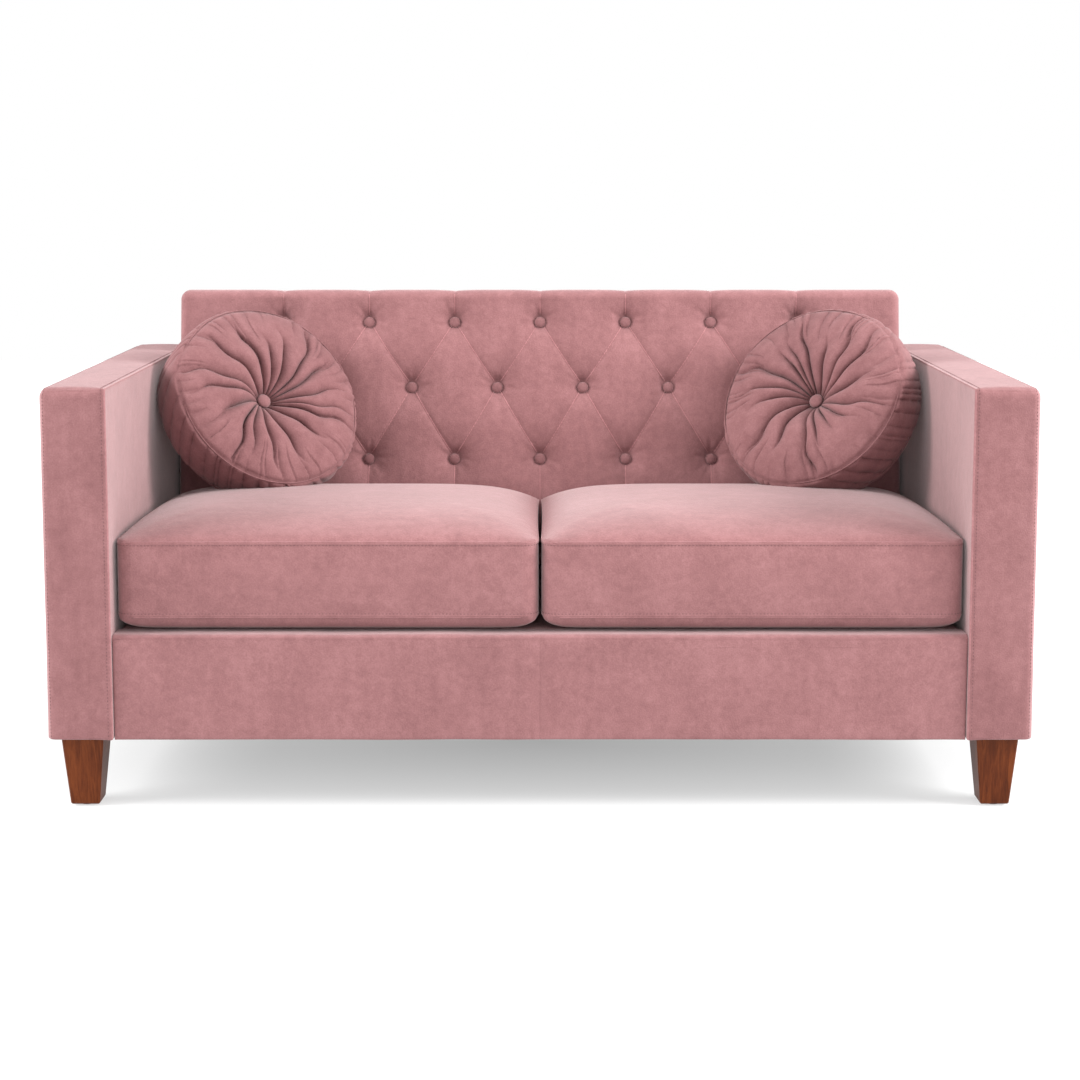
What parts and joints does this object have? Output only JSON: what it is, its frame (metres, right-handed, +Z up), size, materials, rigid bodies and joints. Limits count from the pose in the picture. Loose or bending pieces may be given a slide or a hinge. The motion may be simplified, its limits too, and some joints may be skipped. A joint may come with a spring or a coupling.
{
  "type": "loveseat",
  "caption": "Square-arm upholstered loveseat with a diamond-buttoned back, loose boxed seat cushions, round pleated pillows and tapered wooden legs.",
  "frame": {"origin": "on the floor, under the middle of the loveseat", "axes": "+X to the right as seen from the front, along the longest side; +Y from the front to the rear; +Z up"},
  "size_m": [1.53, 0.78, 0.775],
  "materials": {
    "velvet": "matte",
    "leg_wood": "satin",
    "frame_timber": "matte",
    "plywood": "matte",
    "hardboard": "matte",
    "plated_steel": "satin",
    "spring_steel": "satin",
    "glide_plastic": "matte",
    "dust_cloth": "matte",
    "deck_cloth": "matte",
    "twine": "matte",
    "seat_foam": "matte",
    "pillow_fibre": "matte"
  },
  "bodies": {
    "sofa": {"arm_bolts": "plated_steel", "back_board": "hardboard", "back_bolts": "plated_steel", "back_lower_rail": "frame_timber", "back_pad": "velvet", "back_post_centre": "plywood", "back_post_left": "plywood", "back_post_right": "plywood", "back_top_rail": "frame_timber", "button_twines": "twine", "centre_rail": "frame_timber", "corner_blocks": "frame_timber", "dust_cover": "dust_cloth", "foot_glides": "glide_plastic", "front_rail": "frame_timber", "front_rail_cover": "velvet", "left_arm_bottom_rail": "frame_timber", "left_arm_cover": "velvet", "left_arm_facing": "velvet", "left_arm_front_post": "frame_timber", "left_arm_rear_post": "frame_timber", "left_arm_top_rail": "frame_timber", "left_side_rail": "frame_timber", "leg_bolts": "plated_steel", "leg_front_left": "leg_wood", "leg_front_right": "leg_wood", "leg_plates": "plated_steel", "leg_rear_left": "leg_wood", "leg_rear_right": "leg_wood", "outside_back": "velvet", "plate_screws": "plated_steel", "rear_rail": "frame_timber", "right_arm_bottom_rail": "frame_timber", "right_arm_cover": "velvet", "right_arm_facing": "velvet", "right_arm_front_post": "frame_timber", "right_arm_rear_post": "frame_timber", "right_arm_top_rail": "frame_timber", "right_side_rail": "frame_timber", "seat_deck": "deck_cloth", "seat_springs_left": "spring_steel", "seat_springs_right": "spring_steel", "spring_clips": "plated_steel", "tuft_buttons": "velvet"},
    "seat_cushion_left": {"seat_cushion_core_left": "seat_foam", "seat_cushion_cover_left": "velvet"},
    "seat_cushion_right": {"seat_cushion_core_right": "seat_foam", "seat_cushion_cover_right": "velvet"},
    "round_pillow_left": {"round_pillow_buttons_left": "velvet", "round_pillow_cover_left": "velvet", "round_pillow_fill_left": "pillow_fibre", "round_pillow_twine_left": "twine"},
    "round_pillow_right": {"round_pillow_buttons_right": "velvet", "round_pillow_cover_right": "velvet", "round_pillow_fill_right": "pillow_fibre", "round_pillow_twine_right": "twine"}
  },
  "joints": [
    {"name": "seat_cushion_left_lift", "type": "slide", "parent": "sofa", "child": "seat_cushion_left", "axis": [0, 0, 1], "range_m": [0, 0.4]},
    {"name": "round_pillow_left_lift", "type": "slide", "parent": "seat_cushion_left", "child": "round_pillow_left", "axis": [0, 0, 1], "range_m": [0, 0.35]},
    {"name": "seat_cushion_right_lift", "type": "slide", "parent": "sofa", "child": "seat_cushion_right", "axis": [0, 0, 1], "range_m": [0, 0.4]},
    {"name": "round_pillow_right_lift", "type": "slide", "parent": "seat_cushion_right", "child": "round_pillow_right", "axis": [0, 0, 1], "range_m": [0, 0.35]}
  ]
}
